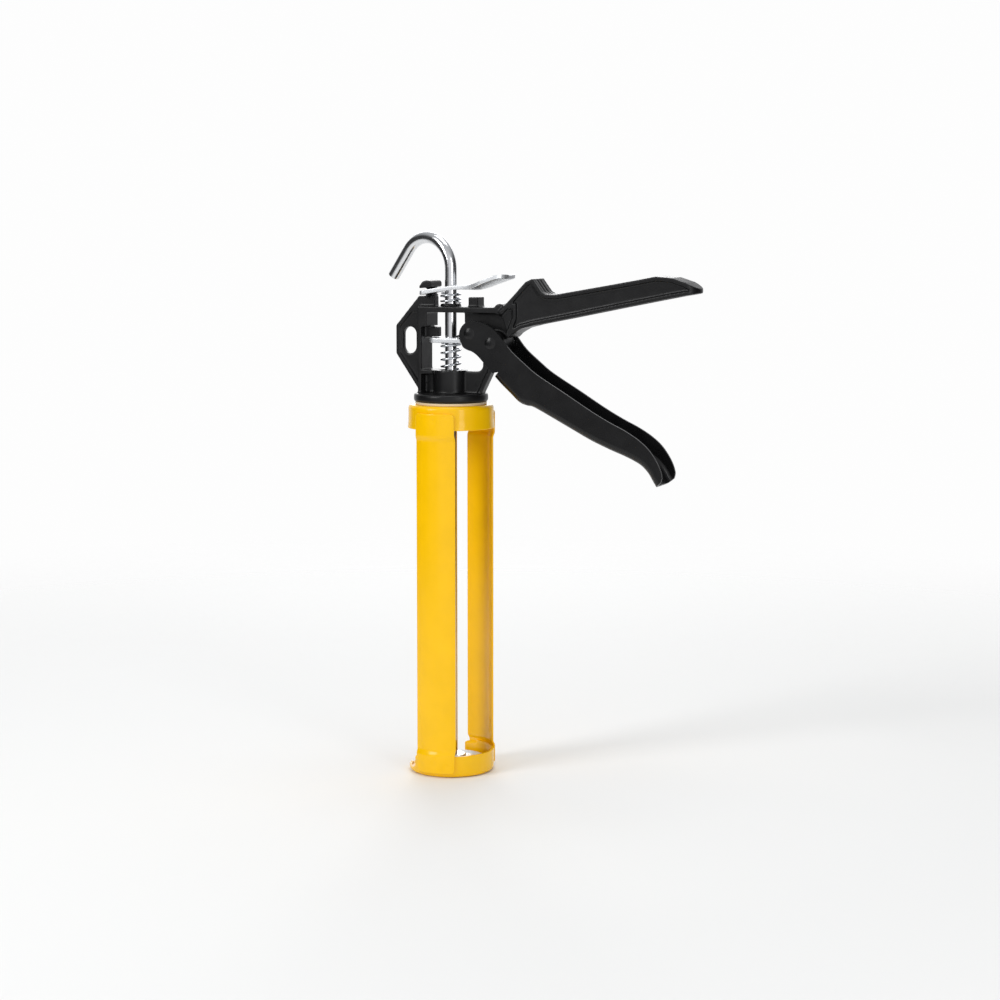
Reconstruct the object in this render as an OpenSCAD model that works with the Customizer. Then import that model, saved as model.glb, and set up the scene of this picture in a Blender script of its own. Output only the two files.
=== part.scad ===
// Caulking gun with a revolving half-barrel, a squeeze trigger and a hooked push rod.
// +Z runs along the barrel from the front cap's face to the head, +X points along the handle.

/* [Barrel] */
// Length of the barrel, from the front cap's face to the rear cap's face
barrel_len = 235; // [200:1:300]
// Outer diameter of the two caps
barrel_d = 54; // [48:0.5:66]
// Sheet thickness of the caps
cap_sheet = 1.5; // [1.2:0.1:1.8]
// Height of the rear cap's wall
rear_cap_h = 15; // [12:0.5:20]
// Height of the front cap's wall
front_cap_h = 13.5; // [11:0.5:18]
// Height of the front cap's lip under the loading opening
front_lip_h = 3.2; // [2.6:0.1:4]
// Bend radius at the outer edge of each cap
cap_edge_r = 2.5; // [2:0.1:3]
// Sheet thickness of the side strips
strip_sheet = 1.2; // [1:0.1:1.5]
// Width of each side strip
strip_w = 27; // [22:0.5:32]
// Angle from the middle of the loading opening to the middle of each strip
strip_offset = 104.5; // [100:0.5:112]
// Direction that the loading opening faces at rest, measured from the handle
opening_turn = 165; // [0:1:359]
// Width of the slot for the cartridge's nozzle
nozzle_slot_w = 20; // [16:0.5:24]

/* [Rod and plunger] */
// Diameter of the push rod
rod_d = 7.5; // [6:0.1:9]
// Bend radius of the pull hook, at the rod's centre line
hook_r = 20; // [17:0.5:24]
// Angle that the hook bends through
hook_bend = 142; // [120:1:160]
// Length of the straight end of the hook
hook_leg = 22; // [12:0.5:24]
// Direction that the hook points at rest, measured from the handle
hook_turn = 162; // [100:1:260]
// Gap between the plunger and the inside of the caps
plunger_gap = 3.5; // [2:0.1:5]
// Sheet thickness of the plunger
plunger_sheet = 1.5; // [1.2:0.1:2]

/* [Head] */
// Height of the head's bridge above the rear cap
bridge_z = 58; // [56:0.5:62]
// Thickness of the bridge
bridge_t = 3.6; // [3:0.1:4.2]
// Depth of the frame round the head's window, front to back
frame_w = 18; // [15:0.5:19]
// Thickness of the head's web
web_t = 4.6; // [4:0.1:5.5]
// Depth of the web's rim
rim_w = 7; // [6:0.1:8.5]
// Width of the handle, front to back
handle_w = 20; // [16:0.5:27]
// Thickness of the handle's rails
rail_t = 2.6; // [2.2:0.1:3]
// Height of the flange that sits on the rear cap
flange_t = 5.4; // [4:0.1:6]
// Diameter of the boss below the window
boss_d = 21.6; // [18:0.1:24]
// Diameter of the neck that the barrel turns on
neck_d = 22; // [18:0.5:26]
// Thickness of the nylon washer
washer_t = 1.6; // [1:0.1:2]
// Width of the slot that the gun hangs from
hang_slot_w = 9; // [6:0.5:10]
// Length of the slot that the gun hangs from
hang_slot_l = 17; // [12:0.5:20]

/* [Trigger and plates] */
// Outer width of the trigger's channel
trigger_w = 24; // [24:0.5:30]
// Sheet thickness of the trigger
trigger_sheet = 1.6; // [1.3:0.1:2]
// Shank diameter of the two rivets
rivet_d = 6; // [5:0.1:7.2]
// Thickness of the drive plate
plate_t = 3.2; // [2.6:0.1:3.8]
// Height of the drive plate above the rear cap
plate_z = 38.8; // [38:0.1:39]
// Thickness of the release lever
lever_t = 2.6; // [2.2:0.1:3]
// Width of the release lever's paddle
paddle_w = 26; // [22:0.5:30]
// Wire diameter of the two springs
spring_wire = 1.3; // [1:0.1:1.6]

/* [Hidden] */
$fn = 64;
SMOOTH = 5;             // points that each stretch of a smooth outline is divided into
EPS = 0.01;
fit = 0.05;             // radial clearance of a running fit
gap = 0.3;              // clearance between pieces that pass each other
over = 1;               // how far a cut runs past the faces that it goes through

cap_r = barrel_d / 2;
rod_r = rod_d / 2;
rivet_r = rivet_d / 2;
neck_r = neck_d / 2;
boss_r = boss_d / 2;
flange_r = cap_r - 3.5;
seat_z = barrel_len;                                   // the rear cap's face, where the head starts
neck_len = 6;
ring_t = 1.5;
ring_groove = 1.2;
ring_w = 3.7;
ring_gap = 4;
ring_z = seat_z - neck_len + 0.8;
washer_inset = 0.9;                                    // from the flange's edge to the nylon washer's
thrust_r = neck_r + 6;

strip_half = asin(strip_w / 2 / cap_r);
strip_tab_w = strip_w - 1.4;
mouth_tuck = 9;                                         // degrees from a strip's edge to the high wall's end
strip_top = seat_z - 4.5;
strip_foot = 2.5;
strip_corner = 2;
joggle_top = seat_z - rear_cap_h - 3;
joggle_foot = front_cap_h + 0.5;
joggle_len = 3;

pivot = [32.5, 39.6];                                  // trigger pivot, from the axis and the seat
drive_pin = [18.3, 45.4];                              // centre of the pawl's rivet
boss_top = 21.5;
window_left = -16.7;
window_right = 22.7;
window_top = 51;
web_left = 10.2;
wall_t = 2.5;
corner_r = 4;                                          // fillet at the window's lower right corner
bolster_z = 49;                                        // where the left wall gets thicker
bolster_w = 4.7;
plate_stop = [10, 6.2];                                // length and height of the rib above the drive plate
plate_stop_w = 6;
lug_x = 14.2;                                          // the lug that stops the release lever
lug = [6.4, 6.1];
lug_w = 11;
fulcrum = [-13, 68.4];                                 // the ridge that the release lever rocks on
fulcrum_r = 1;
knob_w = 17;
knob_neck = [-15.8, -10.4];                            // the knob's neck, through the lever's slot
lever_slot = [-16.6, -9.6];
right_rim = [[20.5, 6.5], [37.9, 42]];
bridge_end = 42;
swing_r = 17;                                          // reach of the trigger's flanges past the handle's root
shallow = 0.1;                                         // play between thin pieces that lie on each other
flange_top = washer_t + flange_t;
recess_d = 3;
pivot_boss_r = 7;
pivot_washer_t = 0.7;
trigger_in = trigger_w / 2 - trigger_sheet;            // from the middle plane to a flange's inside
pivot_boss_w = 2 * (trigger_in - pivot_washer_t - 2 * gap);
rivet_head_r = 4.6;
rivet_head_h = 2.4;
ear = [20.5, 44.3];                                    // the trigger's ear round the drive rivet
ear_r = 9;
lever_zone = [60, 30];                                 // height and depth of the cuts through the lever
hook_top = 84.8;                                         // where the rod starts to bend, above the seat

spring_r = rod_r + 1.7 + spring_wire / 2;              // radius of the wire's centre line
seat_r = spring_r + spring_wire / 2 + gap;
rod_hole_r = rod_r + 0.4;
lever_hole_r = rod_r + 0.9;
spring_foot = bridge_z + bridge_t + 1.8;               // the collar that the release spring stands on
lever_foot = 70.4;                                     // the lever's underside at the rod

arm = [[-9.8, 68], [-20.7, 68], [-36.7, 49.2], [-36.7, 31.3], [-20.7, 8.1], [-18, 5]];
leg = [[19.8, 5], [38.5, 42], [46, 49], [40, bridge_z + 2]];
hang_slot = [-27.7, 39.9];
knob = [[-18.2, 72.9], [-18.2, 74.4], [-16, 77.3], [-13.5, 78], [-11, 77.8], [-10, 76.6], [-10, 73.6]];
grip_top = [[37.5, 58], [55.4, 76.8], [58.6, 78.2], [64, 70.8], [67.5, 69], [74, 68.9], [105, 74.4],
            [125, 78], [139, 80.7], [149, 80], [157.5, 77.3], [165.5, 73.2]];
grip_foot = [[165.5, 73.2], [150, 70.5], [116, 63.7], [82, 56.7], [60, 52.3], [51, 50], [45, 46.6],
             [42, 43.5]];
grip_core = [[58, 40], [58, 65], [66, 64], [74, 64.4], [105, 70], [139, 76.4], [148, 76], [153, 74.5],
             [153, 60]];
grip_tip_r = 10;                                       // corner radius of the handle's tip, seen from above
panel_in = 2;                                          // how far the handle's sides are set in from its rims
panel_t = 2.5;                                         // thickness of the handle's hollow sides
handle_zone = [40, 45];                                // height and depth of the cut round the handle's tip
grip_brace = [[42.8, 45], [47, 55], [47, 63], [43, 62]];
trigger_top = [[21.9, 52.9], [28, 51.9], [34, 48.8], [39, 44.1], [46.2, 35.2], [55, 27.6], [64, 20.6],
               [82, 9.9], [99, -0.4], [111, -6.9], [121, -11.7], [130, -17.1], [137, -23.2], [142.5, -31.2],
               [145.2, -38.4], [144.6, -42.6]];
trigger_foot = [[35.6, 19.5], [40.1, 14.9], [46.2, 9.4], [51.5, 4.6], [56, 2.8], [60.5, 2], [70, -2.6],
                [87.6, -11.7], [99, -17.5], [111, -22.6], [122, -26.8], [131, -31.2], [136.4, -36.2],
                [139.8, -41.6], [142, -45]];
trigger_nose = [[12.6, 40], [14.2, 36.8], [17.2, 35.1], [20.3, 34.1], [23.4, 32.1], [26.6, 29]];
lever_line = [[-18.7, 69.9], [-8, 71.8], [4, 73.4], [14, 74.5], [21, 75.9], [28, 78.2], [36, 81],
              [41.5, 82.8]];
plate_span = [-12.4, 12.5];
plate_corner = 4.5;
heel_r = 3;                                            // corner radii of the lever, seen from above
paddle_r = 12;
flare_x = 14;                                          // where the lever starts to widen
pawl_nose = [[7.8, 42.3], [7.8, 43.6], [11, 44.8], [14, 48.4], [17.5, 49.7], [19, 41.2], [15.5, 42.3]];
pawl_r = 4.4;

plunger_r = cap_r - cap_sheet - plunger_gap;
plunger_z = cap_sheet + 2.6;
hub_r = 9.2;
hub_step = 2;                                          // how far the hub laps over the plunger's hole
hub_top = 10;
tenon_r = 3;
tenon_foot = cap_sheet + 0.6;
nut_w = 8;
nut_t = 1.1;
washer_lap = 1.4;                                      // how far the rod's washer reaches past its nut
disc_lip = 1.8;                                        // how far the plunger's rim stands up
disc_bevel = 3;

// unit normal of the line from a to b
function normal(a, b) = let (d = b - a) [-d[1], d[0]] / norm(d);
// a line of points moved sideways by d, with mitred corners
function shifted(p, d) = [
    for (i = [0 : len(p) - 1])
        let (n = len(p) - 1,
             before = normal(p[max(i - 1, 0)], p[max(i, 1)]),
             after = normal(p[min(i, n - 1)], p[min(i + 1, n)]))
        p[i] + d * (before + after) / (1 + before * after)
];
function reversed(p) = [for (i = [len(p) - 1 : -1 : 0]) p[i]];
// the outline of a band of width w along a line of points
function band(p, w) = concat(shifted(p, w / 2), reversed(shifted(p, -w / 2)));
// a point on the smooth curve through b and c
function curve_at(a, b, c, d, t) =
    0.5 * (2 * b + (c - a) * t + (2 * a - 5 * b + 4 * c - d) * t * t
           + (3 * b - a - 3 * c + d) * t * t * t);
// a smooth curve through a line of points
function smooth(p) = let (n = len(p) - 1) [
    for (i = [0 : n - 1], k = [0 : SMOOTH - 1])
        curve_at(p[max(i - 1, 0)], p[i], p[i + 1], p[min(i + 2, n)], k / SMOOTH),
    p[n]
];
// points on an arc about c, from angle a to angle b
function arc(c, r, a, b, steps = 8) = [for (i = [0 : steps]) c + r * [cos(a + (b - a) * i / steps),
                                                                   sin(a + (b - a) * i / steps)]];

// an outline in the X-Z plane, measured from the seat, w deep about the middle plane
module slab(w) {
    translate([0, 0, seat_z]) rotate([90, 0, 0]) linear_extrude(w, center = true) children();
}
// a round bar across the gun at a point in the X-Z plane
module crossbar(p, r, w) {
    translate([p[0], 0, seat_z + p[1]]) rotate([90, 0, 0]) cylinder(r = r, h = w, center = true);
}
// a flat ring
module ring(z, h, inner, outer) {
    translate([0, 0, z]) difference() {
        cylinder(r = outer, h = h);
        translate([0, 0, -over]) cylinder(r = inner, h = h + 2 * over);
    }
}
// a rectangle with round corners, from low to high
module round_box(low, high, r) {
    polygon(concat(arc([high[0] - r, high[1] - r], r, 0, 90), arc([low[0] + r, high[1] - r], r, 90, 180),
                   arc([low[0] + r, low[1] + r], r, 180, 270), arc([high[0] - r, low[1] + r], r, 270, 360)));
}
// the material that rounds off a square inner corner at the origin
module corner_fill(r) {
    difference() {
        square(r + EPS);
        translate([r, r]) circle(r);
    }
}
// a coil spring from z to z + h
module coil(z, h, turns) {
    sides = 8;
    steps = 24;
    n = round(turns * steps);
    rise = h - spring_wire;
    points = [
        for (i = [0 : n], k = [0 : sides - 1])
            let (lift = rise * i / n,
                 a = 360 * turns * i / n,
                 r = spring_r + spring_wire / 2 * cos(360 * k / sides))
            [r * cos(a), r * sin(a), z + spring_wire / 2 * (1 + sin(360 * k / sides)) + lift]
    ];
    walls = [
        for (i = [0 : n - 1], k = [0 : sides - 1])
            let (next = (k + 1) % sides)
                [i * sides + k, (i + 1) * sides + k, (i + 1) * sides + next, i * sides + next]
    ];
    ends = [[for (k = [0 : sides - 1]) k], [for (k = [sides - 1 : -1 : 0]) n * sides + k]];
    polyhedron(points, concat(walls, ends));
}

module flange() {
    edge = 1.6;
    profile = concat([[0, washer_t]], arc([flange_r - edge, washer_t + edge], edge, -90, 0),
                     arc([flange_r - edge, flange_top - edge], edge, 0, 90), [[0, flange_top]]);
    translate([0, 0, seat_z]) rotate_extrude() polygon(profile);
}
module head_web() {
    slab(web_t) difference() {
        polygon(concat(arm, leg, [[-9.8, bridge_z + 2]]));
        difference() {
            union() {
                translate([window_left, boss_top - 0.5])
                    square([window_right - window_left, window_top - boss_top + 0.5]);
                translate([window_left, boss_top]) square([web_left - window_left, bridge_z + EPS - boss_top]);
            }
            translate([window_right, boss_top - 0.5]) rotate(90) corner_fill(corner_r);
        }
    }
}
module head_rims() {
    slab(rim_w) {
        polygon(band(shifted([for (i = [1 : 4]) arm[i]], rail_t / 2), rail_t));
        polygon(band(right_rim, rail_t));
        polygon([[-9.8, bridge_z], [-9.8, 68], [-20.7, 68], [-29.2, bridge_z]]);
    }
}
module head_frame() {
    bridge_top = bridge_z + bridge_t;
    slab(frame_w) {
        translate([window_left - wall_t, flange_top - over]) square([wall_t, bridge_z - flange_top + 2 * over]);
        translate([window_left - over, boss_top - wall_t]) square([boss_r - 2, wall_t]);
        translate([window_left - wall_t, bridge_z]) square([bridge_end - window_left, bridge_t]);
        translate([window_left - over, bolster_z]) square([bolster_w, bridge_z - bolster_z + over]);
    }
    slab(plate_stop_w) translate([window_left - over, plate_z + plate_t + gap]) square(plate_stop);
    slab(lug_w) translate([lug_x, bridge_top - over]) square(lug + [0, over]);
    translate([0, 0, seat_z + bridge_top - over])
        cylinder(r = spring_r + spring_wire / 2 - gap, h = spring_foot - bridge_top + over);
}
module head_knob() {
    slab(knob_w) polygon(knob);
    slab(web_t) translate([knob_neck[0], arm[0][1] - over])
        square([knob_neck[1] - knob_neck[0], knob[0][1] - arm[0][1] + 2 * over]);
    crossbar(fulcrum, fulcrum_r, knob_w);
}
// the handle: hollow from below, with rims round its sides and a round tip
module handle() {
    sides = handle_w - 2 * panel_in;
    tip = [grip_top[len(grip_top) - 1][0], handle_w / 2 + over];
    intersection() {
        difference() {
            union() {
                slab(sides) polygon(concat(grip_top, grip_foot));
                slab(handle_w) {
                    polygon(band(grip_top, rail_t));
                    polygon(band(grip_foot, rail_t));
                    polygon(band(grip_brace, rail_t));
                }
            }
            slab(sides - 2 * panel_t) polygon(grip_core);
        }
        translate([0, 0, seat_z + handle_zone[0]]) linear_extrude(handle_zone[1])
            round_box([0, -tip[1]], tip, grip_tip_r);
    }
}
module head_casting() {
    color("#1d1d1f") difference() {
        union() {
            flange();
            translate([0, 0, seat_z + flange_top - 1]) cylinder(r = boss_r, h = boss_top - flange_top + 1);
            translate([0, 0, seat_z - neck_len]) cylinder(r = neck_r, h = neck_len + flange_top - 1);
            head_web();
            head_rims();
            head_frame();
            head_knob();
            handle();
            crossbar(pivot, pivot_boss_r, pivot_boss_w);
        }
        translate([0, 0, seat_z - neck_len - over])
            cylinder(r = rod_r + fit, h = spring_foot + neck_len + 2 * over);
        translate([0, 0, seat_z + boss_top - recess_d]) cylinder(r = seat_r, h = recess_d + over);
        crossbar(pivot, rivet_r, trigger_w);
        for (side = [-1, 1])
            translate([0, side * (trigger_in - gap + handle_w / 2), 0]) crossbar(pivot, swing_r, handle_w);
        ring(ring_z, ring_t, neck_r - ring_groove, neck_r + over);
        slab(rim_w + over) translate(hang_slot) round_box(
            [-hang_slot_w / 2, -hang_slot_l / 2], [hang_slot_w / 2, hang_slot_l / 2], hang_slot_w / 2 - EPS);
    }
}
// a rivet across the gun, with a domed head at each end
module rivet(p) {
    color("#202022") {
        crossbar(p, rivet_r, trigger_w + 2 * gap);
        dome_r = (rivet_head_r * rivet_head_r + rivet_head_h * rivet_head_h) / (2 * rivet_head_h);
        for (turn = [90, -90])
            translate([p[0], 0, seat_z + p[1]]) rotate([turn, 0, 0])
                translate([0, 0, trigger_w / 2 + gap / 2]) intersection() {
                    translate([0, 0, rivet_head_h - dome_r]) sphere(dome_r);
                    cylinder(r = rivet_head_r + over, h = rivet_head_h + over);
                }
    }
}
module pivot_rivet() {
    rivet(pivot);
}
module drive_rivet() {
    rivet(drive_pin);
}
module pivot_washers() {
    color("#b9bcc0") for (side = [-1, 1])
        translate([0, side * (pivot_boss_w + pivot_washer_t) / 2 + side * gap / 3, 0]) difference() {
            crossbar(pivot, pivot_boss_r - 0.5, pivot_washer_t);
            crossbar(pivot, rivet_r, pivot_washer_t + over);
        }
}
module nylon_washer() {
    color("#eedcb8") ring(seat_z, washer_t, neck_r + gap, flange_r - washer_inset);
}
module thrust_washer() {
    color("#aeb2b8") ring(ring_z + ring_t, seat_z - cap_sheet - ring_z - ring_t - shallow, neck_r, thrust_r);
}
module retaining_ring() {
    color("#8d9096") difference() {
        ring(ring_z, ring_t, neck_r - ring_groove, neck_r - ring_groove + ring_w);
        translate([0, -ring_gap / 2, ring_z - over]) cube([neck_r + ring_w, ring_gap, ring_t + 2 * over]);
    }
}
module drive_spring() {
    foot = boss_top - recess_d;
    color("#d7dade") coil(seat_z + foot, plate_z - foot, 5.5);
}
module release_spring() {
    color("#d7dade") coil(seat_z + spring_foot, lever_foot - spring_foot, 2.5);
}
module drive_plate() {
    color("#dfe2e5") translate([0, 0, seat_z + plate_z]) difference() {
        linear_extrude(plate_t) round_box(
            [plate_span[0], -frame_w / 2], [plate_span[1], frame_w / 2], plate_corner);
        translate([0, 0, -over]) cylinder(r = rod_hole_r, h = plate_t + 2 * over);
    }
}
// the release lever from above: a narrow heel at the knob, flaring to the round paddle
module lever_plan() {
    heel = [lever_line[0][0] + heel_r, frame_w / 2 - heel_r];
    paddle = [lever_line[len(lever_line) - 1][0] - paddle_r, paddle_w / 2 - paddle_r];
    polygon(concat(arc(heel, heel_r, 180, 90), [[flare_x, frame_w / 2]], arc(paddle, paddle_r, 105, 0),
                   arc([paddle[0], -paddle[1]], paddle_r, 0, -105), [[flare_x, -frame_w / 2]],
                   arc([heel[0], -heel[1]], heel_r, -90, -180)));
}
module release_lever() {
    slot = [lever_slot[1] - lever_slot[0], web_t + over];
    color("#dfe2e5") difference() {
        intersection() {
            slab(paddle_w + over) polygon(band(smooth(lever_line), lever_t));
            translate([0, 0, seat_z + lever_zone[0]]) linear_extrude(lever_zone[1]) lever_plan();
        }
        translate([0, 0, seat_z + lever_zone[0]]) {
            cylinder(r = lever_hole_r, h = lever_zone[1]);
            translate([lever_slot[0], -slot[1] / 2, 0]) cube([slot[0], slot[1], lever_zone[1]]);
        }
    }
}
module trigger_flange() {
    outline = concat(smooth(trigger_top), reversed(smooth(concat(trigger_nose, trigger_foot))));
    difference() {
        union() {
            polygon(outline);
            translate(ear) circle(ear_r);
        }
        translate(pivot) circle(rivet_r + fit);
        translate(drive_pin) circle(rivet_r);
    }
}
module trigger() {
    color("#1a1a1c") {
        for (side = [-1, 1])
            translate([0, side * (trigger_w - trigger_sheet) / 2, 0]) slab(trigger_sheet) trigger_flange();
        slab(trigger_w - trigger_sheet)
            polygon(band(shifted(smooth(trigger_foot), trigger_sheet / 2), trigger_sheet));
    }
}
module drive_pawl() {
    color("#26272a") difference() {
        union() {
            slab(2 * (trigger_in - gap)) polygon(pawl_nose);
            crossbar(drive_pin, pawl_r, 2 * (trigger_in - gap));
        }
        crossbar(drive_pin, rivet_r + fit, trigger_w);
    }
}
// a cap: a cup whose floor is at z = 0 and whose wall rises to h
module cup(h) {
    r = cap_edge_r;
    rotate_extrude() polygon(concat(
        [[0, 0]], arc([cap_r - r, r], r, -90, 0), [[cap_r, h], [cap_r - cap_sheet, h]],
        arc([cap_r - r, r], r - cap_sheet, 0, -90), [[0, cap_sheet]]
    ));
}
module rear_cap() {
    color("#fdc300") translate([0, 0, seat_z]) mirror([0, 0, 1]) difference() {
        cup(rear_cap_h);
        translate([0, 0, -over]) cylinder(r = neck_r + fit, h = cap_sheet + 2 * over);
    }
}
module front_cap() {
    mouth = strip_offset - strip_half + mouth_tuck;
    slant = 14;                                        // degrees that each end of the high wall leans back
    low = cap_r * sin(mouth - slant);
    high = cap_r * sin(mouth);
    slot = nozzle_slot_w / 2;
    color("#fdc300") difference() {
        cup(front_cap_h);
        rotate(opening_turn) {
            translate([0, 0, -over]) linear_extrude(front_lip_h + 2 * over)
                polygon(concat(arc([0, 0], slot, 90, 270, 24), [[cap_r + over, -slot], [cap_r + over, slot]]));
            rotate([90, 0, 90]) linear_extrude(cap_r + over)
                polygon([[-low, front_lip_h], [low, front_lip_h], [high, front_cap_h + EPS],
                         [high, front_cap_h + over], [-high, front_cap_h + over], [-high, front_cap_h + EPS]]);
        }
    }
}
// a side strip: joggled inwards between the caps, with narrower tabs over them
module strip(turn) {
    inside = cap_r + 0.02;
    drop = strip_sheet;
    line = [[inside, strip_foot], [inside, joggle_foot], [inside - drop, joggle_foot + joggle_len],
            [inside - drop, joggle_top - joggle_len], [inside, joggle_top], [inside, strip_top]];
    outside = [for (p = line) [p[0] + strip_sheet, p[1]]];
    color("#fdc300") rotate(turn) intersection() {
        rotate(-strip_half - 5) rotate_extrude(angle = 2 * strip_half + 10)
            polygon(concat(outside, reversed(line)));
        rotate([90, 0, 90]) linear_extrude(cap_r + 5) {
            round_box([-strip_tab_w / 2, strip_foot], [strip_tab_w / 2, strip_top], strip_corner);
            round_box([-strip_w / 2, joggle_foot], [strip_w / 2, joggle_top], strip_corner);
        }
    }
}
module left_strip() {
    strip(opening_turn + strip_offset);
}
module right_strip() {
    strip(opening_turn - strip_offset);
}
module push_rod() {
    bend_z = seat_z + hook_top;
    shoulder = hub_top;
    lap = 0.5;                                         // how far the straight bars run into the bend
    color("#e4e6e8") {
        translate([0, 0, tenon_foot]) cylinder(r = tenon_r, h = shoulder - tenon_foot + over);
        translate([0, 0, shoulder]) cylinder(r = rod_r, h = bend_z - shoulder + lap);
        rotate(hook_turn) translate([hook_r, 0, bend_z]) {
            rotate([90, 0, 180]) rotate_extrude(angle = hook_bend) translate([hook_r, 0]) circle(rod_r - fit);
            rotate([0, hook_bend, 0]) translate([-hook_r, 0, -lap]) cylinder(r = rod_r - 2 * fit, h = hook_leg);
        }
    }
}
module rod_nut() {
    color("#c9ccd0") translate([0, 0, tenon_foot]) difference() {
        cylinder(d = nut_w / cos(30), h = nut_t, $fn = 6);
        translate([0, 0, -over]) cylinder(r = tenon_r, h = nut_t + 2 * over);
    }
}
module rod_washer() {
    color("#c9ccd0") ring(tenon_foot + nut_t, plunger_z - tenon_foot - nut_t - shallow, tenon_r,
                          nut_w / 2 + washer_lap);
}
module plunger_disc() {
    r = plunger_r;
    rim_z = plunger_z + disc_lip;
    top = plunger_z + plunger_sheet;
    outline = [[hub_r - hub_step, plunger_z], [r - disc_bevel, plunger_z], [r, rim_z],
               [r, rim_z + plunger_sheet], [r - disc_bevel - gap, top], [hub_r - hub_step, top]];
    color("#ccd0d4") rotate_extrude() polygon(outline);
}
module plunger_hub() {
    edge = 1;
    top = hub_top - shallow;
    bore = tenon_r + fit;
    outline = concat([[bore, plunger_z], [hub_r - hub_step, plunger_z],
                      [hub_r - hub_step, plunger_z + plunger_sheet], [hub_r, plunger_z + plunger_sheet]],
                     arc([hub_r - edge, top - edge], edge, 0, 90), [[bore, top]]);
    color("#c3c8ce") rotate_extrude() polygon(outline);
}

head_casting();
pivot_rivet();
pivot_washers();
nylon_washer();
thrust_washer();
retaining_ring();
drive_spring();
release_spring();
drive_plate();
release_lever();
trigger();
drive_rivet();
drive_pawl();
rear_cap();
front_cap();
left_strip();
right_strip();
push_rod();
rod_nut();
rod_washer();
plunger_disc();
plunger_hub();
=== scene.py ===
import math

import bmesh
import bpy
from mathutils import Matrix, Vector


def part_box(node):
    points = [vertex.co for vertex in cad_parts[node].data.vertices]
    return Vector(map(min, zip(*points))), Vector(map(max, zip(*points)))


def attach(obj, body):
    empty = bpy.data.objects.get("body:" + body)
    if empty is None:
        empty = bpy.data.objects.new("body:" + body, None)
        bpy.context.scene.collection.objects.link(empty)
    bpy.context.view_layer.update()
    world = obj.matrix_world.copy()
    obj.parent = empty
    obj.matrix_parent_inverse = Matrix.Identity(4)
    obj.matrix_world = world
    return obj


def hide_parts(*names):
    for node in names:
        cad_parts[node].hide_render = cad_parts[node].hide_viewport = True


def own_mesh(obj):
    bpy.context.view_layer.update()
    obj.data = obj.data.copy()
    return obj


bl_info = {
    "name": "Caulking Gun",
    "version": (1, 0, 0),
    "blender": (4, 5, 0),
    "location": "View3D > Sidebar > Caulking Gun",
    "description": "Builds a caulking gun with a revolving half-barrel round its CAD frame",
    "category": "Object",
}

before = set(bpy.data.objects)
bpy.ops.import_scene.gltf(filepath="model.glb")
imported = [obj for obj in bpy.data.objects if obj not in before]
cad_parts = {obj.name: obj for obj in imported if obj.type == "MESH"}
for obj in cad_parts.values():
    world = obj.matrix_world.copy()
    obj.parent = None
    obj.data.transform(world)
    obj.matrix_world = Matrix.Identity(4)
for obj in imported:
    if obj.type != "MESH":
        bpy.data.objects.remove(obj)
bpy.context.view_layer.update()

MM = 0.001
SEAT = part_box("rear_cap")[1].z / MM              # the rear cap's face, where the head stands
CAP_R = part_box("front_cap")[1].y / MM            # outer radius of the caps
OPENING = math.radians(165)                      # direction of the loading opening at rest
STRIP_OFFSET = math.radians(104.5)               # from the opening to the middle of each strip
HOOK_TURN = math.radians(162)                    # direction that the hook points at rest
PIVOT = Vector((32.5, 0, SEAT + 39.6))
DRIVE_PIN = Vector((18.3, 0, SEAT + 45.4))

# Side outlines of the pressed trigger and of the release lever, from the axis and the seat
TRIGGER_TOP = [(21.9, 52.9), (28, 51.9), (34, 48.8), (39, 44.1), (46.2, 35.2), (55, 27.6), (64, 20.6),
               (82, 9.9), (99, -0.4), (111, -6.9), (121, -11.7), (130, -17.1), (137, -23.2), (142.5, -31.2),
               (145.2, -38.4), (144.6, -42.6)]
TRIGGER_NOSE = [(12.6, 40), (14.2, 36.8), (17.2, 35.1), (20.3, 34.1), (23.4, 32.1), (26.6, 29)]
TRIGGER_FOOT = [(35.6, 19.5), (40.1, 14.9), (46.2, 9.4), (51.5, 4.6), (56, 2.8), (60.5, 2), (70, -2.6),
                (87.6, -11.7), (99, -17.5), (111, -22.6), (122, -26.8), (131, -31.2), (136.4, -36.2),
                (139.8, -41.6), (142, -45)]
EAR, EAR_R = Vector((20.5, 44.3)), 9.0           # the trigger's ear round the drive rivet
LEVER_LINE = [(-18.7, 69.9), (-8, 71.8), (4, 73.4), (14, 74.5), (21, 75.9), (28, 78.2), (36, 81), (41.5, 82.8)]
GRIP_TOP = [(37.5, 58), (55.4, 76.8), (58.6, 78.2), (64, 70.8), (67.5, 69), (74, 68.9)]


# ---------------------------------------------------------------- sizes and colours

class BarrelSizes(bpy.types.PropertyGroup):
    """Sizes of the pressed barrel, in millimetres"""
    sheet: bpy.props.FloatProperty(name="Cap sheet", description="Sheet thickness of the caps", default=1.5)
    rear_h: bpy.props.FloatProperty(name="Rear cap", description="Height of the rear cap's wall", default=15.0)
    front_h: bpy.props.FloatProperty(name="Front cap", description="Height of the front cap's wall", default=13.5)
    lip_h: bpy.props.FloatProperty(name="Front lip", description="Height of the lip under the opening", default=3.2)
    edge_r: bpy.props.FloatProperty(name="Edge radius", description="Bend radius at a cap's outer edge", default=2.5)
    slot_w: bpy.props.FloatProperty(name="Nozzle slot", description="Width of the slot for the nozzle", default=20.0)
    strip_w: bpy.props.FloatProperty(name="Strip width", description="Width of each side strip", default=27.0)
    strip_t: bpy.props.FloatProperty(name="Strip sheet", description="Sheet thickness of the strips", default=1.2)
    weld_d: bpy.props.FloatProperty(name="Weld mark", description="Diameter of a spot weld's dimple", default=3.0)


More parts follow.
